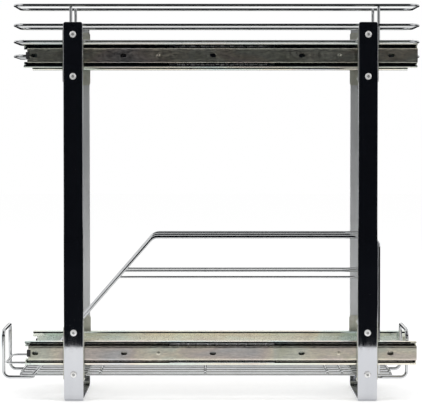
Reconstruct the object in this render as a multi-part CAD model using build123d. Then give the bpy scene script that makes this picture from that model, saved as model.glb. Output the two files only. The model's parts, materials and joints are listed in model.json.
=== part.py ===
"""Two-tier pull-out organizer for a kitchen base cabinet.

Two bent flat-bar frames stand on the cabinet floor. Zinc brackets on their legs carry four
ball-bearing slides, and a chrome wire basket rides on each pair of slides: a tray basket above,
and below it a long basket with three upright wire frames for lids and baking trays.

Millimetres. X runs from the front (-X, the side that is pulled) to the rear, Y across the width,
with the right-hand side at -Y, and Z up. The origin is on the floor, midway between the four legs.
"""

from build123d import *
import os

# Frame: two flat bars, each bent into a U
frame_width = 160.0
leg_height = 490.0
leg_spacing = 380.0
bar_width = 25.0
bar_thickness = 3.0
bar_bend_radius = 5.0
bar_corner_radius = 3.0
bar_edge_radius = 0.6
floor_hole_spacing = 90.0
floor_hole_diameter = 5.0

# Tiers: heights of the slides' centre lines
lower_slide_height = 62.0
upper_slide_height = 447.0

# Brackets between the legs and the slides
bracket_width = 27.0
bracket_height = 71.0
bracket_thickness = 2.0
bracket_corner_radius = 3.0
bracket_screw_spacing = 54.0

# Screws, nuts and rivets
screw_diameter = 5.0
screw_head_diameter = 8.5
screw_head_height = 2.6
screw_head_edge_radius = 1.6
screw_socket_width = 3.0
screw_socket_depth = 1.4
screw_clearance = 0.15
nut_width = 8.0
nut_height = 4.0
nut_clearance = 0.05
rivet_diameter = 4.0
rivet_head_diameter = 7.0
rivet_head_height = 1.2
rivet_spacing = 14.0

# Slides: a fixed rail, a moving channel round it, and a cage of balls between them
slide_length = 508.0
slide_thickness = 12.7
slide_sheet = 1.2
rail_height = 19.8
rail_depth = 9.0
rail_corner_radius = 3.3
rail_setback = 5.0
rail_slot_count = 5
rail_slot_length = 8.0
rail_slot_width = 4.6
rail_first_slot = 9.0
rail_last_slot = 34.0
rail_boss_diameter = 5.0
rail_boss_height = 0.9
rail_boss_shares = (0.342, 0.802)
channel_height = 31.0
channel_mouth_setback = 2.0
channel_corner_radius = 3.0
channel_roll_radius = 2.6
channel_lip = 1.3
channel_lip_notch = 8.0
channel_stop_diameter = 3.0
channel_stop_margin = 0.3
channel_stop_length = 6.0
channel_web_notch = 5.5
channel_web_notch_height = 16.0
groove_depth = 0.4
ball_clearance = 0.05
ball_share = 0.37
ball_pitch = 12.5
ball_count = 10
cage_sheet = 0.8
cage_length = 136.0
cage_center = 2.0
cage_gap = 0.8
cage_mouth_gap = 0.2
cage_scallop_radius = 2.6
cage_scallop_depth = 0.7
bumper_height = 9.0
bumper_length = 5.0
bumper_bite = 3.0
bumper_depth = 7.0
bumper_edge_radius = 1.0

# Wires, and the gap between a slide and the side of its basket
rail_wire = 4.0
heavy_wire = 4.5
thin_wire = 3.0
basket_side_gap = 7.3

# Mounting tabs that hang the baskets on the moving channels
tab_length = 24.0
tab_sheet = 2.0
tab_foot = 25.0
tab_bend_radius = 1.5
tab_rise_past_center = 10.0
lower_tab_drop = 4.0
tab_screw_diameter = 4.0
tab_screw_head_diameter = 7.0
tab_screw_head_height = 1.8
tab_screw_spacing = 14.0
tab_screw_clearance = 0.1

# Upper basket
upper_basket_length = 530.0
upper_basket_center = -5.0
upper_basket_height = 66.0
upper_corner_radius = 16.0
upper_low_rail_share = 0.285
upper_middle_rail_share = 0.61
hoop_spacing_share = 0.7547
hoop_offset = 10.5
hoop_bend_radius = 8.0
upper_floor_wire_count = 3
upper_cross_wire_count = 6
upper_cross_wire_margin = 40.0

# Lower basket
lower_basket_length = 532.0
lower_basket_center = -20.0
handle_bottom_height = 28.0
handle_inset = 6.25
handle_height = 61.0
handle_arm = 38.0
bearer_front_gap = 55.75
bearer_rear_gap = 15.75
handle_bend_radius = 8.0
lower_rail_rise = 19.0
lower_rail_corner_radius = 8.0
lower_floor_length = 486.0
lower_floor_center = -19.0
lower_floor_wire_count = 5
lower_cross_wire_shares = (0.004, 0.216, 0.498, 0.827, 0.866, 0.996)
divider_top_height = 212.0
divider_front = -243.0
divider_rear = 206.0
divider_slope_run = 155.0
divider_bend_radius = 13.0
divider_rail_height = 163.5
near_divider_rail_drop = 4.3

# Every cut runs this far past the faces that it opens
overrun = 1.0

SIDES = {"left": 1, "right": -1}
LEGS = {"front": -leg_spacing / 2, "rear": leg_spacing / 2}
TIERS = {"lower": lower_slide_height, "upper": upper_slide_height}

# Layers of each side, as distances in from the legs' outer faces
half_width = frame_width / 2
bracket_inner = bar_thickness + bracket_thickness
slide_inner = bracket_inner + slide_thickness
channel_mouth = bracket_inner + channel_mouth_setback
channel_floor = slide_inner - slide_sheet

# Ball track: midway between the rail's flanges and the channel's
rail_flange = rail_height / 2
channel_flange = channel_height / 2 - slide_sheet
ball_height = (rail_flange + channel_flange) / 2
ball_depth = channel_mouth + ball_share * (slide_inner - channel_mouth)
groove_radius = (channel_flange - rail_flange) / 2 + groove_depth
ball_radius = groove_radius - ball_clearance

# Ends of the slides at rest
slide_front = -slide_length / 2
slide_rear = slide_length / 2
rail_front = slide_front + rail_setback
rail_slot_run = slide_length - rail_setback - rail_first_slot - rail_last_slot
rail_slot_pitch = rail_slot_run / (rail_slot_count - 1)

# Centre lines of the wires
basket_width = frame_width - 2 * (slide_inner + basket_side_gap)
basket_half = basket_width / 2
loop_half = basket_half - rail_wire / 2
hoop_half = loop_half - rail_wire
hoop_floor = upper_slide_height - rail_wire
hoop_center = upper_basket_center + hoop_offset
hoop_spacing = hoop_spacing_share * upper_basket_length
upper_floor_wire_pitch = 2 * hoop_half / (upper_floor_wire_count + 1)
upper_floor_wire_height = hoop_floor + (rail_wire + thin_wire) / 2
upper_cross_wire_height = upper_floor_wire_height - thin_wire
divider_half = basket_half - heavy_wire / 2
lower_floor_wire_height = handle_bottom_height + (heavy_wire + thin_wire) / 2
lower_floor_top = lower_floor_wire_height + thin_wire / 2
lower_cross_wire_height = lower_floor_wire_height + thin_wire
handle_half = basket_half - handle_inset - heavy_wire / 2
handle_reach = (lower_basket_length - heavy_wire) / 2
handle_front = lower_basket_center - handle_reach
handle_rear = lower_basket_center + handle_reach
bearer_places = [
    handle_front + handle_arm + bearer_front_gap,
    handle_rear - handle_arm - bearer_rear_gap,
]


def across(side, depth):
    """Y of a plane that lies depth in from the outer faces of that side's legs."""
    return side * (half_width - depth)


def block(x_low, x_high, y_one, y_two, z_low, z_high):
    """Box between two corners, whose Y values may come in either order."""
    center = ((x_low + x_high) / 2, (y_one + y_two) / 2, (z_low + z_high) / 2)
    return Pos(*center) * Box(x_high - x_low, abs(y_two - y_one), z_high - z_low)


def cross_pin(diameter, x, y_one, y_two, z):
    """Round pin across the width, between two planes."""
    middle = Pos(x, (y_one + y_two) / 2, z)
    return middle * Rot(90, 0, 0) * Cylinder(diameter / 2, abs(y_two - y_one))


def bent_wire(diameter, points, radius, closed=False):
    """Round wire along straight runs that meet in bends of one radius."""
    path = FilletPolyline(*points, radius=radius, close=closed)
    section = Plane(origin=path @ 0, z_dir=path % 0) * Circle(diameter / 2)
    return sweep(section, path)


def wire_loop(diameter, x_front, x_rear, half_span, z, radius):
    """Closed level loop of wire, given by its centre line."""
    corners = [
        (x_front, -half_span, z),
        (x_rear, -half_span, z),
        (x_rear, half_span, z),
        (x_front, half_span, z),
    ]
    return bent_wire(diameter, corners, radius, closed=True)


def long_wire(diameter, x_front, x_rear, y, z):
    """Straight wire along the depth of the cabinet."""
    middle = Pos((x_front + x_rear) / 2, y, z)
    return middle * Rot(0, 90, 0) * Cylinder(diameter / 2, x_rear - x_front)


def cap(diameter, height, x, y, z, side):
    """Low dome on an upright face, bulging out to that side."""
    radius = (diameter * diameter / 4 + height * height) / (2 * height)
    ball = Pos(x, y + side * (height - radius), z) * Sphere(radius)
    reach = diameter / 2 + overrun
    top = y + side * (height + overrun)
    return ball & block(x - reach, x + reach, y, top, z - reach, z + reach)


def spread(count, pitch):
    """Evenly spaced places, centred on zero."""
    return [(index - (count - 1) / 2) * pitch for index in range(count)]


def profile_point(side, depth, rise):
    """Point of a slide's cross-section in the plane across the width."""
    return (across(side, depth), rise)


def profile_box(side, depth_low, depth_high, half_rise):
    """Upright rectangle of a slide's cross-section, centred on the slide's height."""
    middle = Pos(*profile_point(side, (depth_low + depth_high) / 2, 0))
    return middle * Rectangle(depth_high - depth_low, 2 * half_rise)


def corners_at(face, side, depth):
    """The corners of a cross-section that lie at one depth."""
    y = across(side, depth)
    return [corner for corner in face.vertices() if abs(corner.X - y) < slide_sheet / 2]


def run_out(section, x_low, x_high, z):
    """Extrude a cross-section along the slide and lift it to its tier."""
    return Pos(x_low, 0, z) * extrude(Plane.YZ * section, x_high - x_low)


def u_frame(x):
    """Flat bar bent into two legs and a floor strap, with its screw holes."""
    outer = Pos(0, leg_height / 2) * Rectangle(frame_width, leg_height)
    inner_height = leg_height - bar_thickness + overrun
    inner_width = frame_width - 2 * bar_thickness
    inner = Pos(0, bar_thickness + inner_height / 2) * Rectangle(inner_width, inner_height)
    outer = fillet(outer.vertices().sort_by(Axis.Y)[:2], bar_bend_radius + bar_thickness)
    inner = fillet(inner.vertices().sort_by(Axis.Y)[:2], bar_bend_radius)
    bar = extrude(Plane.YZ * (outer - inner), bar_width / 2, both=True)
    tops = bar.edges().filter_by(Axis.Y).group_by(Axis.Z)[-1]
    bar = fillet(tops, bar_corner_radius)
    rims = [edge for edge in bar.edges() if edge not in bar.edges().filter_by(Axis.Y)]
    bar = Pos(x, 0, 0) * fillet(rims, bar_edge_radius)
    hole = screw_diameter + 2 * screw_clearance
    for z in screw_heights():
        bar -= cross_pin(hole, x, -half_width - overrun, half_width + overrun, z)
    drill = Cylinder(floor_hole_diameter / 2, bar_thickness + 2 * overrun)
    for y in spread(2, floor_hole_spacing):
        bar -= Pos(x, y, bar_thickness / 2) * drill
    return bar


def screw_heights():
    """Heights of the screws on a leg, a pair about each slide."""
    return [z + rise for z in TIERS.values() for rise in spread(2, bracket_screw_spacing)]


def rivet_places(x):
    """Places along a rail of the two rivets that hold it to a bracket."""
    return [x + offset for offset in spread(2, rivet_spacing)]


def bracket(side, x, z):
    """Zinc plate screwed to a leg, with a rail riveted to its inner face."""
    outer_y = across(side, bar_thickness)
    inner_y = across(side, bracket_inner)
    half_long = bracket_width / 2
    half_high = bracket_height / 2
    plate = block(x - half_long, x + half_long, outer_y, inner_y, z - half_high, z + half_high)
    plate = fillet(plate.edges().filter_by(Axis.Y), bracket_corner_radius)
    reach = side * overrun
    for rise in spread(2, bracket_screw_spacing):
        hole = screw_diameter + 2 * screw_clearance
        plate -= cross_pin(hole, x, outer_y + reach, inner_y - reach, z + rise)
    for place in rivet_places(x):
        plate -= cross_pin(rivet_diameter, place, outer_y + reach, inner_y - reach, z)
    return plate


def frame_screw(side, x, z):
    """Button-head screw through a leg and its bracket into a nut."""
    face = across(side, 0)
    tip = across(side, bracket_inner + nut_height)
    crown = face + side * screw_head_height
    head = cross_pin(screw_head_diameter, x, face, crown, z)
    rim = head.edges().filter_by(GeomType.CIRCLE).sort_by(Axis.Y)[-1 if side > 0 else 0]
    head = fillet(rim, screw_head_edge_radius)
    hexagon = RegularPolygon(screw_socket_width / 2, 6, major_radius=False)
    socket = extrude(hexagon, screw_socket_depth, both=True)
    screw = head - Pos(x, crown, z) * Rot(90, 0, 0) * socket
    return screw + cross_pin(screw_diameter, x, face, tip, z)


def frame_nut(side, x, z):
    """Hexagon nut on the inner face of a bracket."""
    near = across(side, bracket_inner)
    far = across(side, bracket_inner + nut_height)
    hexagon = RegularPolygon(nut_width / 2, 6, major_radius=False)
    nut = Pos(x, (near + far) / 2, z) * Rot(90, 0, 0) * extrude(hexagon, nut_height / 2, both=True)
    bore = screw_diameter + 2 * nut_clearance
    return nut - cross_pin(bore, x, near + side * overrun, far - side * overrun, z)


def rail_rivet(side, x, z):
    """Rivet from the leg's face through bracket and rail, with its head inside the rail."""
    start = across(side, bar_thickness)
    seat = across(side, bracket_inner + slide_sheet)
    top = across(side, bracket_inner + slide_sheet + rivet_head_height)
    shank = cross_pin(rivet_diameter, x, start, seat, z)
    return shank + cross_pin(rivet_head_diameter, x, seat, top, z)


def ball_grooves(side):
    """Sections of the two ball tracks, cut from the rail above and the channel alike."""
    rows = [profile_point(side, ball_depth, rise) for rise in spread(2, 2 * ball_height)]
    return [Pos(*row) * Circle(groove_radius) for row in rows]


def fixed_rail(side, z):
    """Rolled rail with slotted web, riveted to the brackets of a front and a rear leg."""
    rail_edge = bracket_inner + rail_depth
    web = bracket_inner + slide_sheet
    outer = profile_box(side, bracket_inner, rail_edge, rail_flange)
    outer = fillet(corners_at(outer, side, bracket_inner), rail_corner_radius)
    inner = profile_box(side, web, rail_edge + overrun, rail_flange - slide_sheet)
    inner = fillet(corners_at(inner, side, web), rail_corner_radius - slide_sheet)
    section = outer - inner
    for groove in ball_grooves(side):
        section -= groove
    rail = run_out(section, rail_front, slide_rear, z)
    face = across(side, bracket_inner)
    outside = across(side, bracket_inner - overrun)
    inside = across(side, web + overrun)
    slot = extrude(SlotOverall(rail_slot_length, rail_slot_width), slide_sheet + overrun, both=True)
    for index in range(rail_slot_count):
        place = rail_front + rail_first_slot + index * rail_slot_pitch
        rail -= Pos(place, face, z) * Rot(90, 0, 0) * slot
    for x in LEGS.values():
        for place in rivet_places(x):
            rail -= cross_pin(rivet_diameter, place, outside, inside, z)
    half = bumper_height / 2
    rail -= block(rail_front - overrun, rail_front + bumper_bite, outside, inside, z - half, z + half)
    for share in rail_boss_shares:
        place = slide_front + share * slide_length
        rail += cap(rail_boss_diameter, rail_boss_height, place, face, z, side)
    return rail


def rail_bumper(side, z):
    """Rubber stop held in the notch at the front of a rail."""
    rear = rail_front + bumper_bite
    half = bumper_height / 2
    near = across(side, bracket_inner)
    far = across(side, bracket_inner + bumper_depth)
    bumper = block(rear - bumper_length, rear, near, far, z - half, z + half)
    return fillet(bumper.edges().group_by(Axis.X)[0], bumper_edge_radius)


def moving_channel(side, z, tab_places, tab_screw_height):
    """Rolled channel that wraps the balls, with stops at its ends and holes for the tabs."""
    lip_inner = channel_mouth + slide_sheet
    outer = profile_box(side, channel_mouth, slide_inner, channel_height / 2)
    outer = fillet(corners_at(outer, side, slide_inner), channel_corner_radius)
    outer = fillet(corners_at(outer, side, channel_mouth), channel_roll_radius)
    hollow = profile_box(side, lip_inner, channel_floor, channel_flange)
    hollow = fillet(corners_at(hollow, side, channel_floor), channel_corner_radius - slide_sheet)
    hollow = fillet(corners_at(hollow, side, lip_inner), channel_roll_radius - slide_sheet)
    mouth_half = channel_flange - channel_lip
    mouth = profile_box(side, channel_mouth - overrun, lip_inner + overrun, mouth_half)
    section = outer - hollow - mouth
    for groove in ball_grooves(side):
        section -= groove
    channel = run_out(section, slide_front, slide_rear, z)
    lip_cut_outer = across(side, channel_mouth - overrun)
    lip_cut_inner = across(side, lip_inner)
    hole_outer = across(side, channel_floor - overrun)
    hole_inner = across(side, slide_inner + overrun)
    stop_tip = across(side, channel_floor - channel_stop_length)
    stop_root = across(side, channel_floor)
    flange = channel_flange
    notch = channel_web_notch_height / 2
    for end, inward in ((slide_front, 1), (slide_rear, -1)):
        lip_ends = sorted((end - inward * overrun, end + inward * channel_lip_notch))
        channel -= block(*lip_ends, lip_cut_outer, lip_cut_inner, z - flange, z + flange)
        web_ends = sorted((end - inward * overrun, end + inward * channel_web_notch))
        channel -= block(*web_ends, hole_outer, hole_inner, z - notch, z + notch)
        stop_x = end + inward * (channel_stop_diameter / 2 + channel_stop_margin)
        for rise in spread(2, 2 * ball_height):
            channel += cross_pin(channel_stop_diameter, stop_x, stop_root, stop_tip, z + rise)
            channel += Pos(stop_x, stop_tip, z + rise) * Sphere(channel_stop_diameter / 2)
    hole = tab_screw_diameter + 2 * tab_screw_clearance
    for place in tab_screw_places(tab_places):
        channel -= cross_pin(hole, place, hole_outer, hole_inner, tab_screw_height)
    return channel


def ball_cage(side, z):
    """Sheet retainer with a row of round pockets in each flange and scalloped edges."""
    mouth = channel_mouth + cage_mouth_gap
    back = channel_floor - cage_gap
    front = cage_center - cage_length / 2
    rear = cage_center + cage_length / 2
    half_sheet = cage_sheet / 2
    web_half = ball_height + half_sheet
    web_faces = (across(side, back - cage_sheet), across(side, back))
    cage = block(front, rear, *web_faces, z - web_half, z + web_half)
    strip = Pos(cage_center, across(side, (mouth + back) / 2)) * Rectangle(cage_length, back - mouth)
    scallop_center = across(side, mouth - cage_scallop_radius + cage_scallop_depth)
    for place in spread(ball_count, ball_pitch):
        strip -= Pos(cage_center + place, across(side, ball_depth)) * Circle(groove_radius)
    for place in spread(ball_count - 1, ball_pitch):
        strip -= Pos(cage_center + place, scallop_center) * Circle(cage_scallop_radius)
    flange = extrude(strip, half_sheet, both=True)
    for rise in spread(2, 2 * ball_height):
        cage += Pos(0, 0, z + rise) * flange
    return cage


def balls(side, z):
    """Steel balls of one slide, two rows in their cage."""
    y = across(side, ball_depth)
    rows = [z + rise for rise in spread(2, 2 * ball_height)]
    places = [cage_center + place for place in spread(ball_count, ball_pitch)]
    return [Pos(place, y, row) * Sphere(ball_radius) for row in rows for place in places]


def tab_screw_places(tab_places):
    """Places along a channel of the screws that hold its tabs."""
    return [x + offset for x in tab_places for offset in spread(2, tab_screw_spacing)]


def mounting_tab(side, x, foot_top, leaf_top, screw_height):
    """Angle tab: a leaf screwed to the channel and a foot under a basket's cross wire."""
    back = across(side, slide_inner)
    leaf_face = across(side, slide_inner + tab_sheet)
    toe = across(side, slide_inner + tab_foot)
    ends = (x - tab_length / 2, x + tab_length / 2)
    foot_bottom = foot_top - tab_sheet
    leaf = block(*ends, back, leaf_face, foot_bottom, leaf_top)
    tab = leaf + block(*ends, back, toe, foot_bottom, foot_top)
    heel = tab.edges().filter_by(Axis.X).group_by(Axis.Z)[0].sort_by(Axis.Y)[-1 if side > 0 else 0]
    tab = fillet(heel, tab_bend_radius)
    hole = tab_screw_diameter + 2 * tab_screw_clearance
    for place in tab_screw_places([x]):
        tab -= cross_pin(hole, place, back + side * overrun, leaf_face - side * overrun, screw_height)
    return tab


def tab_screw(side, x, z):
    """Pan-head screw through a tab's leaf into the channel."""
    tip = across(side, channel_floor)
    seat = across(side, slide_inner + tab_sheet)
    crown = across(side, slide_inner + tab_sheet + tab_screw_head_height)
    head = cross_pin(tab_screw_head_diameter, x, seat, crown, z)
    rim = head.edges().filter_by(GeomType.CIRCLE).sort_by(Axis.Y)[0 if side > 0 else -1]
    head = fillet(rim, tab_screw_head_height / 2)
    return head + cross_pin(tab_screw_diameter, x, tip, seat, z)


def write(node, shape):
    """Write one named piece, or one group of like pieces, as its own file."""
    export_step(shape, os.path.join("parts", node + ".step"))


def write_group(node, solids):
    """Write separate like solids as one node."""
    write(node, Compound(children=[solid.solid() for solid in solids]))


def write_frame():
    """Bent bars, brackets, their screws and nuts, and the fixed rails."""
    screws = []
    nuts = []
    rivets = []
    bumpers = []
    for end, x in LEGS.items():
        write(f"{end}_u_frame", u_frame(x))
        for side_name, side in SIDES.items():
            for z in screw_heights():
                screws.append(frame_screw(side, x, z))
                nuts.append(frame_nut(side, x, z))
            for tier, z in TIERS.items():
                write(f"{tier}_{end}_{side_name}_bracket", bracket(side, x, z))
                rivets += [rail_rivet(side, place, z) for place in rivet_places(x)]
    for tier, z in TIERS.items():
        for side_name, side in SIDES.items():
            write(f"{tier}_{side_name}_fixed_rail", fixed_rail(side, z))
            bumpers.append(rail_bumper(side, z))
    write_group("frame_screws", screws)
    write_group("frame_nuts", nuts)
    write_group("rail_rivets", rivets)
    write_group("rail_bumpers", bumpers)


def write_slides(tier, tab_places, foot_top):
    """Channels, ball cages, tabs and tab screws of one tier."""
    z = TIERS[tier]
    leaf_top = z + tab_rise_past_center if tier == "upper" else z - lower_tab_drop
    screw_height = z if tier == "upper" else leaf_top - tab_rise_past_center
    screws = []
    steel = []
    for side_name, side in SIDES.items():
        write(f"{tier}_{side_name}_channel", moving_channel(side, z, tab_places, screw_height))
        write(f"{tier}_{side_name}_ball_cage", ball_cage(side, z))
        steel += balls(side, z)
        tabs = [mounting_tab(side, x, foot_top, leaf_top, screw_height) for x in tab_places]
        write_group(f"{tier}_{side_name}_tabs", tabs)
        screws += [tab_screw(side, place, screw_height) for place in tab_screw_places(tab_places)]
    write_group(f"{tier}_balls", steel)
    write_group(f"{tier}_tab_screws", screws)


def write_upper_basket(hoop_places):
    """Tray basket: four rails round two hoops, with a wire floor."""
    half_length = (upper_basket_length - rail_wire) / 2
    front = upper_basket_center - half_length
    rear = upper_basket_center + half_length
    rim = upper_slide_height + upper_basket_height
    heights = {
        "bottom": upper_slide_height,
        "low": upper_slide_height + upper_low_rail_share * upper_basket_height,
        "middle": upper_slide_height + upper_middle_rail_share * upper_basket_height,
        "top": rim,
    }
    for name, z in heights.items():
        loop = wire_loop(rail_wire, front, rear, loop_half, z, upper_corner_radius)
        write(f"upper_{name}_rail", loop)
    for end, x in zip(LEGS, hoop_places):
        hoop = [
            (x, -hoop_half, rim),
            (x, -hoop_half, hoop_floor),
            (x, hoop_half, hoop_floor),
            (x, hoop_half, rim),
        ]
        write(f"upper_{end}_hoop", bent_wire(rail_wire, hoop, hoop_bend_radius))
    floor_front = front + rail_wire / 2
    floor_rear = rear - rail_wire / 2
    rows = spread(upper_floor_wire_count, upper_floor_wire_pitch)
    wires = [long_wire(thin_wire, floor_front, floor_rear, y, upper_floor_wire_height) for y in rows]
    write_group("upper_floor_wires", wires)
    cross_span = upper_basket_length - 2 * upper_cross_wire_margin
    pitch = cross_span / (upper_cross_wire_count - 1)
    places = [upper_basket_center + place for place in spread(upper_cross_wire_count, pitch)]
    ends = (-basket_half, basket_half)
    cross = [cross_pin(thin_wire, x, *ends, upper_cross_wire_height) for x in places]
    write_group("upper_cross_wires", cross)


def handle(x_end, inward):
    """Closed upright loop at one end of the lower basket, with arms under its floor."""
    x_arm = x_end + inward * handle_arm
    low = handle_bottom_height
    high = handle_bottom_height + handle_height
    corners = [
        (x_arm, -handle_half, low),
        (x_end, -handle_half, low),
        (x_end, -handle_half, high),
        (x_end, handle_half, high),
        (x_end, handle_half, low),
        (x_arm, handle_half, low),
    ]
    return bent_wire(heavy_wire, corners, handle_bend_radius, closed=True)


def divider(y):
    """Upright wire frame with a sloping front, cut off level where it meets the floor wire."""
    slope = (divider_top_height - lower_floor_top) / divider_slope_run
    corner = divider_front + divider_slope_run
    start_x = divider_front - heavy_wire
    start_z = lower_floor_top - heavy_wire * slope
    path = [
        (start_x, y, start_z),
        (corner, y, divider_top_height),
        (divider_rear, y, divider_top_height),
        (divider_rear, y, lower_floor_top),
    ]
    frame = bent_wire(heavy_wire, path, divider_bend_radius)
    return split(frame, Plane.XY.offset(lower_floor_top), keep=Keep.TOP)


def divider_rail(y, height):
    """Middle rail of a divider, lapped against its sloping and upright wires."""
    slope = (divider_top_height - lower_floor_top) / divider_slope_run
    front = divider_front + (height - lower_floor_top) / slope
    return long_wire(thin_wire, front, divider_rear, y, height)


def write_lower_basket():
    """Long basket: two end handles, a wire floor, a low rail and three upright dividers."""
    write("lower_front_handle", handle(handle_front, 1))
    write("lower_rear_handle", handle(handle_rear, -1))
    lap = (heavy_wire + thin_wire) / 2
    rail_height_now = handle_bottom_height + lower_rail_rise
    rail_half = divider_half - lap
    rail_ends = (handle_front + lap, handle_rear - lap)
    rail = wire_loop(thin_wire, *rail_ends, rail_half, rail_height_now, lower_rail_corner_radius)
    write("lower_side_rail", rail)
    floor_front = lower_floor_center - lower_floor_length / 2
    floor_rear = lower_floor_center + lower_floor_length / 2
    rows = spread(lower_floor_wire_count, 2 * divider_half / (lower_floor_wire_count - 1))
    wires = [long_wire(thin_wire, floor_front, floor_rear, y, lower_floor_wire_height) for y in rows]
    write_group("lower_floor_wires", wires)
    places = [floor_front + share * lower_floor_length for share in lower_cross_wire_shares]
    cross = [cross_pin(thin_wire, x, -rail_half, rail_half, lower_cross_wire_height) for x in places]
    write_group("lower_cross_wires", cross)
    ends = (-basket_half, basket_half)
    bearers = [cross_pin(heavy_wire, x, *ends, handle_bottom_height) for x in bearer_places]
    write_group("lower_bearers", bearers)
    for name, y, rail_lap, rail_drop in (
        ("left", divider_half, -lap, 0),
        ("center", 0, lap, 0),
        ("right", -divider_half, lap, near_divider_rail_drop),
    ):
        write(f"{name}_divider", divider(y))
        write(f"{name}_divider_rail", divider_rail(y + rail_lap, divider_rail_height - rail_drop))


os.makedirs("parts", exist_ok=True)
write_frame()
hoop_places = [hoop_center + offset for offset in spread(2, hoop_spacing)]
write_slides("upper", hoop_places, hoop_floor - rail_wire / 2)
write_slides("lower", bearer_places, handle_bottom_height - heavy_wire / 2)
write_upper_basket(hoop_places)
write_lower_basket()
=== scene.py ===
"""Looks of the two-tier cabinet organizer: camera, studio, finishes and weld beads.

Metres, in the frame of the CAD model: X from the front to the rear, the near side at -Y, Z up.
"""

import json
import math

import bmesh
import bpy
from mathutils import Matrix, Vector


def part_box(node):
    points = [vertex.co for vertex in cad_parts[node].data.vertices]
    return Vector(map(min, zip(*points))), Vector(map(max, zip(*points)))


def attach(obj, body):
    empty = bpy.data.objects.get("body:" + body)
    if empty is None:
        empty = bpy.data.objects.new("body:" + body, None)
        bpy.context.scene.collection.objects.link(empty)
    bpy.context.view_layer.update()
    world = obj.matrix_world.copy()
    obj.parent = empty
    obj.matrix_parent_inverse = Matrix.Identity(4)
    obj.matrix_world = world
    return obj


# Diameters of the baskets' wires
RAIL_WIRE = 0.0040
HEAVY_WIRE = 0.0045
THIN_WIRE = 0.0030

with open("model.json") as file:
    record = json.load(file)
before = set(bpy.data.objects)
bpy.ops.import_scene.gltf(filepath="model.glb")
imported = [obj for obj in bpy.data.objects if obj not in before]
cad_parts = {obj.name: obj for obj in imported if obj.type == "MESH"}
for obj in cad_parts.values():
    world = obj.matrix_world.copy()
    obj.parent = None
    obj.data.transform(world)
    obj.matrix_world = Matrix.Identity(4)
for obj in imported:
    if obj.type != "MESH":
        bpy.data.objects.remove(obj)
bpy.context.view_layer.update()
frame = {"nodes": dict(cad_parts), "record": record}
scene = bpy.context.scene
scene.view_settings.view_transform = "Standard"


def set_camera():
    """Side view from about 2.8 m, framed as the photograph."""
    drop, turn = 2.159, -0.022
    data = bpy.data.cameras.new("photo_camera")
    data.sensor_width = 36.0
    data.lens = 179.5
    data.clip_end = 60.0
    camera = bpy.data.objects.new("photo_camera", data)
    scene.collection.objects.link(camera)
    camera.location = (-0.0134, -2.7905, 0.3592)
    camera.rotation_euler = (math.radians(90.0 - drop), 0.0, math.radians(turn))
    scene.camera = camera


def add_plane(name, corners, material, flag=False):
    """Flat stage piece through four corners. A flag shows in reflections only."""
    mesh = bpy.data.meshes.new(name)
    mesh.from_pydata(corners, [], [(0, 1, 2, 3)])
    plane = bpy.data.objects.new(name, mesh)
    scene.collection.objects.link(plane)
    mesh.materials.append(material)
    if flag:
        plane.visible_camera = False
        plane.visible_diffuse = False
        plane.visible_shadow = False


def add_lamp(name, place, target, size, power):
    """Soft rectangular lamp, aimed at a point. The metal mirrors the room, not the lamps."""
    data = bpy.data.lights.new(name, "AREA")
    data.shape = "RECTANGLE"
    data.size, data.size_y = size
    data.energy = power
    lamp = bpy.data.objects.new(name, data)
    scene.collection.objects.link(lamp)
    lamp.location = place
    lamp.rotation_euler = (Vector(target) - Vector(place)).to_track_quat("-Z", "Y").to_euler()
    lamp.visible_camera = False
    lamp.visible_glossy = False


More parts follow.
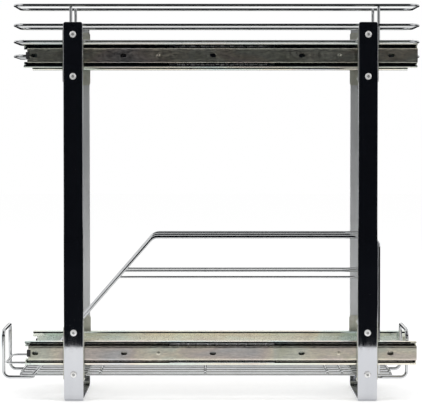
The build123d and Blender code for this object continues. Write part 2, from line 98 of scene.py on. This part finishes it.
class Nodes:
    """Shorthand for one material's node tree."""

    def __init__(self, name):
        self.material = bpy.data.materials.new(name)
        self.material.use_nodes = True
        self.tree = self.material.node_tree
        self.shader = self.tree.nodes["Principled BSDF"]

    def add(self, kind, **settings):
        node = self.tree.nodes.new(kind)
        for key, value in settings.items():
            setattr(node, key, value)
        return node

    def link(self, output, socket):
        self.tree.links.new(output, socket)

    def feed(self, value, socket):
        """Give a socket a colour, a number or another node's output."""
        if isinstance(value, tuple):
            socket.default_value = (*value, 1.0)
        elif isinstance(value, (int, float)):
            socket.default_value = value
        else:
            self.link(value, socket)

    def axes(self):
        """Position on the piece, as outputs named X, Y and Z."""
        coords = self.add("ShaderNodeTexCoord")
        parts = self.add("ShaderNodeSeparateXYZ")
        self.link(coords.outputs["Object"], parts.inputs["Vector"])
        return parts.outputs

    def place(self, scale=(1.0, 1.0, 1.0)):
        """Position on the piece, stretched by a scale along each axis."""
        coords = self.add("ShaderNodeTexCoord")
        mapping = self.add("ShaderNodeMapping")
        mapping.inputs["Scale"].default_value = scale
        self.link(coords.outputs["Object"], mapping.inputs["Vector"])
        return mapping.outputs["Vector"]

    def noise(self, vector, scale, detail=3.0, roughness=0.5, distortion=0.0):
        node = self.add("ShaderNodeTexNoise")
        node.inputs["Scale"].default_value = scale
        node.inputs["Detail"].default_value = detail
        node.inputs["Roughness"].default_value = roughness
        node.inputs["Distortion"].default_value = distortion
        self.link(vector, node.inputs["Vector"])
        return node.outputs["Fac"]

    def ramp(self, value, stops):
        """Colour ramp; each stop is a place and a grey or a colour."""
        node = self.add("ShaderNodeValToRGB")
        elements = node.color_ramp.elements
        while len(elements) < len(stops):
            elements.new(0.5)
        for element, (place, colour) in zip(elements, stops):
            shade = colour if isinstance(colour, tuple) else (colour, colour, colour)
            element.position = place
            element.color = (*shade, 1.0)
        self.link(value, node.inputs["Fac"])
        return node.outputs["Color"]

    def math(self, operation, first, second):
        node = self.add("ShaderNodeMath", operation=operation)
        for socket, value in zip(node.inputs, (first, second)):
            self.feed(value, socket)
        return node.outputs["Value"]

    def span(self, value, low, high, start, end):
        """Map a value from one range to another."""
        node = self.add("ShaderNodeMapRange")
        limits = {"From Min": low, "From Max": high, "To Min": start, "To Max": end}
        for name, number in limits.items():
            node.inputs[name].default_value = number
        self.link(value, node.inputs["Value"])
        return node.outputs["Result"]

    def vary(self, noise, start, end):
        """Map the range that a noise mostly stays in to another one."""
        return self.span(noise, 0.3, 0.7, start, end)

    def mix(self, factor, first, second, blend="MIX"):
        """Colour from two colours."""
        node = self.add("ShaderNodeMix", data_type="RGBA", blend_type=blend)
        for index, value in ((0, factor), (6, first), (7, second)):
            self.feed(value, node.inputs[index])
        return node.outputs[2]

    def between(self, factor, first, second):
        """Number between two numbers."""
        node = self.add("ShaderNodeMix", data_type="FLOAT")
        for index, value in ((0, factor), (2, first), (3, second)):
            self.feed(value, node.inputs[index])
        return node.outputs[0]

    def bump(self, height, strength, distance):
        node = self.add("ShaderNodeBump")
        node.inputs["Strength"].default_value = strength
        node.inputs["Distance"].default_value = distance
        self.link(height, node.inputs["Height"])
        self.link(node.outputs["Normal"], self.shader.inputs["Normal"])

    def painted_recess_shade(self, depth, darkest):
        """Painted shade: grey that falls from white to dark in recesses of about a depth, from
        ambient occlusion.
        """
        shade = self.add("ShaderNodeAmbientOcclusion", samples=8)
        shade.inputs["Distance"].default_value = depth
        return self.ramp(shade.outputs["AO"], [(0.35, darkest), (0.75, 1.0)])

    def metal(self, colour, roughness, metallic=1.0):
        """Bare or plated metal; colour and roughness are values or outputs."""
        self.shader.inputs["Metallic"].default_value = metallic
        self.feed(colour, self.shader.inputs["Base Color"])
        self.feed(roughness, self.shader.inputs["Roughness"])

    def matt(self, colour):
        """Plain colour without gloss."""
        self.shader.inputs["Base Color"].default_value = (*colour, 1.0)
        self.shader.inputs["Roughness"].default_value = 0.9
        self.shader.inputs["Specular IOR Level"].default_value = 0.0


def chrome_wire():
    """Bright chrome on drawn wire, with fine drawing marks and a trace of haze."""
    made = Nodes("chrome_wire")
    haze = made.noise(made.place(), scale=55.0, detail=4.0)
    colour = made.ramp(haze, [(0.35, (0.54, 0.55, 0.56)), (0.65, (0.60, 0.61, 0.62))])
    rough = made.vary(made.noise(made.place(), scale=90.0), 0.04, 0.08)
    made.metal(colour, rough)
    marks = made.noise(made.place(), scale=420.0, detail=2.0)
    made.bump(marks, strength=0.01, distance=0.0002)
    return made.material


def chrome_bar():
    """Polished chrome outside and at the foot, satin chrome inside with a paler colour that is
    painted lighter shade, with faint rolling marks.
    """
    inner_face, outer_face = 0.0775, 0.0790
    foot_top, satin_from = 0.042, 0.050
    made = Nodes("chrome_bar")
    axes = made.axes()
    outward = made.math("ABSOLUTE", axes["Y"], 0.0)
    outside = made.span(outward, inner_face, outer_face, 0.0, 1.0)
    foot = made.span(axes["Z"], foot_top, satin_from, 1.0, 0.0)
    polished = made.math("MAXIMUM", outside, foot)
    streaks = made.noise(made.place((1.0, 1.0, 0.06)), scale=300.0, detail=4.0)
    polish = made.vary(streaks, 0.02, 0.06)
    satin = made.vary(streaks, 0.58, 0.74)
    cloud = made.noise(made.place((1.0, 1.0, 0.4)), scale=24.0)
    bright = made.ramp(cloud, [(0.3, (0.53, 0.54, 0.57)), (0.7, (0.60, 0.61, 0.63))])
    # Painted lighter shade: the inner faces get a paler copy of the chrome colour.
    satin_painted_paler = made.ramp(cloud, [(0.3, (0.80, 0.81, 0.82)), (0.7, (0.92, 0.93, 0.93))])
    made.metal(made.mix(polished, satin_painted_paler, bright), made.between(polished, satin, polish))
    marks = made.noise(made.place((1.0, 1.0, 0.25)), scale=90.0, detail=2.0)
    made.bump(marks, strength=0.05, distance=0.0004)
    return made.material


def zinc_plate():
    """Zinc-plated brackets and tabs: olive-grey, clouded, with fine rolling marks."""
    made = Nodes("zinc_plate")
    tints = [
        (0.30, (0.62, 0.63, 0.54)),
        (0.48, (0.76, 0.76, 0.67)),
        (0.60, (0.84, 0.84, 0.77)),
        (0.75, (0.80, 0.76, 0.64)),
    ]
    cloud = made.noise(made.place(), scale=46.0, detail=5.0, roughness=0.6, distortion=0.4)
    marks = made.noise(made.place((1.0, 1.0, 0.05)), scale=500.0, detail=2.0)
    made.metal(made.ramp(cloud, tints), made.vary(marks, 0.44, 0.58))
    made.bump(marks, strength=0.10, distance=0.0002)
    return made.material


def zinc_sheet(name, tints, smooth, rough, fleck, depth):
    """Zinc-plated slide steel: chromate tints and a spangle on the webs, burnished lips.

    The web's roughness runs from smooth to rough, fleck is the grey of the darkest grain, and
    painted shade darkens recesses of about a depth.
    """
    tint_places = (0.30, 0.42, 0.52, 0.62, 0.74)
    web_half, lip_half = 0.0080, 0.0095
    made = Nodes(name)
    tint = made.noise(made.place((0.45, 1.0, 1.0)), scale=24.0, detail=2.0, distortion=0.5)
    colour = made.ramp(tint, list(zip(tint_places, tints)))
    grain = made.noise(made.place((0.10, 1.0, 1.0)), scale=1100.0)
    spangle = made.noise(made.place((0.55, 1.0, 1.0)), scale=430.0, detail=4.0, roughness=0.6)
    speckle = made.ramp(made.math("MULTIPLY", grain, spangle), [(0.12, fleck), (0.40, 1.0)])
    height = made.axes()["Z"]
    away = []
    for row in ("upper", "lower"):
        low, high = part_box(f"{row}_right_channel")
        above = made.math("SUBTRACT", height, (low.z + high.z) / 2)
        away.append(made.math("ABSOLUTE", above, 0.0))
    lip = made.span(made.math("MINIMUM", *away), web_half, lip_half, 0.0, 1.0)
    web_gloss = made.span(spangle, 0.32, 0.68, smooth, rough)
    lip_gloss = made.vary(grain, 0.10, 0.18)
    plated = made.mix(1.0, colour, speckle, "MULTIPLY")
    # Painted shade: ambient occlusion darkens the slide's gaps and recesses.
    plating_with_painted_shade = made.mix(1.0, plated, made.painted_recess_shade(depth, darkest=0.02), "MULTIPLY")
    made.metal(plating_with_painted_shade, made.between(lip, web_gloss, lip_gloss))
    made.bump(grain, strength=0.04, distance=0.0001)
    return made.material


def zinc_slide():
    """Fixed rails."""
    tints = [
        (0.72, 0.73, 0.59),
        (0.81, 0.82, 0.71),
        (0.88, 0.82, 0.68),
        (0.78, 0.70, 0.64),
        (0.66, 0.66, 0.66),
    ]
    return zinc_sheet("zinc_slide", tints, smooth=0.32, rough=0.66, fleck=0.66, depth=0.005)


def zinc_channel_painted_paler():
    """Moving channels, whose tints are paler than the rails' as a painted lighter shade."""
    # Painted lighter shade: paler copies of the rails' zinc tints, with less dark grain.
    tints = [
        (0.74, 0.86, 0.82),
        (0.90, 0.96, 0.86),
        (0.96, 0.93, 0.79),
        (0.90, 0.84, 0.74),
        (0.82, 0.83, 0.82),
    ]
    return zinc_sheet("zinc_channel_painted_paler", tints, smooth=0.26, rough=0.30, fleck=0.97, depth=0.012)


def cage_steel():
    """Plain sheet steel with a thin film of grease."""
    made = Nodes("cage_steel")
    film = made.noise(made.place(), scale=160.0, detail=4.0)
    colour = made.ramp(film, [(0.35, (0.36, 0.36, 0.35)), (0.65, (0.60, 0.61, 0.60))])
    made.metal(colour, made.vary(film, 0.22, 0.42))
    made.shader.inputs["Coat Weight"].default_value = 0.2
    made.bump(film, strength=0.08, distance=0.0002)
    return made.material


def bearing_steel():
    """Polished balls."""
    made = Nodes("bearing_steel")
    film = made.noise(made.place(), scale=300.0, detail=2.0)
    colour = made.ramp(film, [(0.4, (0.66, 0.67, 0.69)), (0.6, (0.80, 0.81, 0.83))])
    made.metal(colour, made.vary(film, 0.04, 0.12))
    return made.material


def bright_fastener():
    """Nickel-plated screws, nuts and rivets with a fine grain, and painted shade in their sockets.
    """
    made = Nodes("bright_fastener")
    film = made.noise(made.place(), scale=380.0)
    colour = made.ramp(film, [(0.35, (0.90, 0.90, 0.89)), (0.65, (0.98, 0.98, 0.97))])
    # Painted shade: ambient occlusion darkens the sockets.
    plated = made.mix(1.0, colour, made.painted_recess_shade(depth=0.002, darkest=0.04), "MULTIPLY")
    made.metal(plated, made.vary(film, 0.30, 0.42), metallic=0.5)
    made.bump(film, strength=0.10, distance=0.0002)
    return made.material


def black_rubber():
    """Matt moulded rubber with a fine grain."""
    made = Nodes("black_rubber")
    grain = made.noise(made.place(), scale=900.0, detail=4.0)
    colour = made.ramp(grain, [(0.3, (0.012, 0.012, 0.013)), (0.7, (0.035, 0.035, 0.036))])
    made.link(colour, made.shader.inputs["Base Color"])
    made.link(made.vary(grain, 0.55, 0.8), made.shader.inputs["Roughness"])
    made.bump(grain, strength=0.3, distance=0.0002)
    return made.material


def floor_paper():
    """White paper under the part, lifted to white where the camera or a reflection sees it."""
    glow = 0.30
    made = Nodes("floor_paper")
    made.matt((0.92, 0.92, 0.92))
    made.shader.inputs["Emission Color"].default_value = (1.0, 1.0, 1.0, 1.0)
    path = made.add("ShaderNodeLightPath")
    seen = made.math("MAXIMUM", path.outputs["Is Camera Ray"], path.outputs["Is Glossy Ray"])
    seen = made.math("MAXIMUM", seen, path.outputs["Is Transmission Ray"])
    made.link(made.span(seen, 0.0, 1.0, 0.0, glow), made.shader.inputs["Emission Strength"])
    return made.material


def dark_card():
    """Black studio flag, which the polished bars reflect."""
    made = Nodes("dark_card")
    made.matt((0.008, 0.009, 0.012))
    return made.material


def set_world():
    """White surroundings, a little weaker as a light than as a background."""
    as_light, as_background = 0.75, 1.0
    world = bpy.data.worlds.new("white_studio")
    scene.world = world
    world.use_nodes = True
    nodes = world.node_tree.nodes
    links = world.node_tree.links
    background = nodes["Background"]
    background.inputs["Color"].default_value = (1.0, 1.0, 1.0, 1.0)
    path = nodes.new("ShaderNodeLightPath")
    seen = path.outputs["Is Camera Ray"]
    for ray in ("Is Glossy Ray", "Is Transmission Ray"):
        either = nodes.new("ShaderNodeMath")
        either.operation = "MAXIMUM"
        links.new(seen, either.inputs[0])
        links.new(path.outputs[ray], either.inputs[1])
        seen = either.outputs["Value"]
    strength = nodes.new("ShaderNodeMapRange")
    strength.inputs["To Min"].default_value = as_light
    strength.inputs["To Max"].default_value = as_background
    links.new(seen, strength.inputs["Value"])
    links.new(strength.outputs["Result"], background.inputs["Strength"])


def level(x_low, x_high, y_low, y_high, height):
    """Corners of a level rectangle."""
    outline = ((x_low, y_low), (x_high, y_low), (x_high, y_high), (x_low, y_high))
    return [(x, y, height) for x, y in outline]


def set_stage():
    """Pale floor, dark flags that the metal reflects, and soft lamps."""
    paper = floor_paper()
    card = dark_card()
    far = 8.0
    add_plane("floor", level(-far, far, -far, far, 0.0), paper)

    # Flags on the floor leave a white field round the part.
    near, back, side, room, lift = -0.74, 0.4, 0.9, 3.6, 0.0005
    rings = {
        "front_flag": (-room, room, -room, near),
        "back_flag": (-room, room, back, room),
        "left_flag": (-room, -side, near, back),
        "right_flag": (side, room, near, back),
    }
    for name, limits in rings.items():
        add_plane(name, level(*limits, lift), card, flag=True)

    # Upright flags stand round the room.
    wide, narrow = 2.6, 1.0
    front_top, back_top, side_top = 3.2, 0.36, 1.6
    panels = {
        "front_panel": ((-wide, -room), (wide, -room), front_top),
        "back_panel": ((wide, room), (-wide, room), back_top),
        "right_panel": ((room, -narrow), (room, narrow), side_top),
        "left_panel": ((-room, narrow), (-room, -narrow), side_top),
    }
    for name, (one, two, top) in panels.items():
        corners = [(*one, 0.0), (*two, 0.0), (*two, top), (*one, top)]
        add_plane(name, corners, card, flag=True)

    # A ceiling and a low shelf in front darken what the slides reflect.
    ceiling_edge, shelf_edge, shelf_height = -0.3, -0.13, 0.130
    ceiling = level(-wide, wide, -room, ceiling_edge, front_top)
    add_plane("front_ceiling", ceiling, card, flag=True)
    shelf = level(-wide, wide, near, shelf_edge, shelf_height)
    add_plane("front_shelf", shelf, card, flag=True)

    aim, power = (0.0, 0.0, 0.25), 8.0
    add_lamp("top_softbox", (0.0, -0.5, 2.2), aim, (2.2, 0.45), power)
    add_lamp("left_softbox", (-1.9, -2.2, 1.3), aim, (1.2, 1.6), power)
    add_lamp("right_softbox", (1.9, -2.2, 1.3), aim, (1.2, 1.6), power)


FINISHES = {
    "chrome_wire": chrome_wire,
    "chrome_bar": chrome_bar,
    "zinc_plate": zinc_plate,
    "zinc_slide": zinc_slide,
    "zinc_channel_painted_paler": zinc_channel_painted_paler,
    "cage_steel": cage_steel,
    "bearing_steel": bearing_steel,
    "bright_fastener": bright_fastener,
    "black_rubber": black_rubber,
}


def dress_nodes():
    """Give each CAD node the finish that its record entry names, and channels their own."""
    made = {slot: build() for slot, build in FINISHES.items()}
    for entry in frame["record"]["subparts"]:
        piece = frame["nodes"][entry["node"]]
        channel = entry["node"].endswith("_channel")
        finish = made["zinc_channel_painted_paler" if channel else entry["material_slot"]]
        for slot in piece.material_slots:
            slot.material = finish
    return made


def upper_welds():
    """Points where the upper basket's wires are welded."""
    first_cross, cross_pitch, cross_count = -0.23, 0.09, 6
    sides = (-1, 1)
    ends = [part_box(f"upper_{end}_hoop") for end in ("front", "rear")]
    hoops = [sum(corner.x for corner in end) / 2 for end in ends]
    hoop_low, hoop_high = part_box("upper_front_hoop")
    seam = hoop_high.y
    places = []
    for name in ("bottom", "low", "middle", "top"):
        low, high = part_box(f"upper_{name}_rail")
        height = (low.z + high.z) / 2
        places += [(x, side * seam, height) for x in hoops for side in sides]
    rows_low, rows_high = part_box("upper_floor_wires")
    rows = [rows_low.y + THIN_WIRE / 2, 0.0, rows_high.y - THIN_WIRE / 2]
    crossings = [first_cross + cross_pitch * index for index in range(cross_count)]
    places += [(x, y, rows_low.z) for x in hoops + crossings for y in rows]
    edge = seam + RAIL_WIRE / 2
    bend = hoop_low.z + RAIL_WIRE
    places += [(x, side * edge, bend) for x in crossings for side in sides]
    return places


def lower_welds():
    """Points where the lower basket's wires are welded."""
    cross_shares = (0.004, 0.216, 0.498, 0.827, 0.866, 0.996)
    slanted_foot = 0.003
    heavy, thin = HEAVY_WIRE / 2, THIN_WIRE / 2
    floor_low, floor_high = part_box("lower_floor_wires")
    span = floor_high.y - thin
    lines = [-span, -span / 2, 0.0, span / 2, span]
    bearers = [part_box("lower_bearers")[0].x + heavy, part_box("lower_bearers")[1].x - heavy]
    places = [(x, y, floor_low.z) for x in bearers for y in lines]
    arms = [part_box("lower_front_handle")[1].x - heavy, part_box("lower_rear_handle")[0].x + heavy]
    places += [(x, y, floor_low.z) for x in arms for y in lines[1:4]]
    length = floor_high.x - floor_low.x
    crossings = [floor_low.x + share * length for share in cross_shares]
    places += [(x, y, floor_high.z) for x in crossings for y in lines]
    for name in ("left", "center", "right"):
        low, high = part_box(f"{name}_divider")
        middle = (low.y + high.y) / 2
        rail_low, rail_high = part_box(f"{name}_divider_rail")
        touch = (middle + (rail_low.y + rail_high.y) / 2) / 2
        places += [
            (low.x + slanted_foot, middle, floor_high.z),
            (high.x - heavy, middle, floor_high.z),
            (rail_low.x, touch, (rail_low.z + rail_high.z) / 2),
            (rail_high.x, touch, rail_low.z + thin),
        ]
    return places


def add_welds(finish):
    """Small flattened beads where the wires of a basket are welded, each a little different."""
    radius, flatness, uneven, turn = 0.0021, 0.62, 0.15, 2.4
    for body, places in {"upper_basket": upper_welds(), "lower_basket": lower_welds()}.items():
        mesh = bpy.data.meshes.new(f"{body}_welds")
        build = bmesh.new()
        for index, place in enumerate(places):
            lean = uneven * math.sin(turn * index)
            shape = Matrix.Diagonal((1.0 + lean, 1.0 - lean, flatness, 1.0))
            spot = Matrix.Translation(place) @ shape
            bmesh.ops.create_icosphere(build, subdivisions=2, radius=radius, matrix=spot)
        for face in build.faces:
            face.smooth = True
        build.to_mesh(mesh)
        build.free()
        mesh.materials.append(finish)
        welds = bpy.data.objects.new(f"{body}_welds", mesh)
        scene.collection.objects.link(welds)
        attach(welds, body)


set_camera()
set_world()
set_stage()
finishes = dress_nodes()
add_welds(finishes["chrome_wire"])
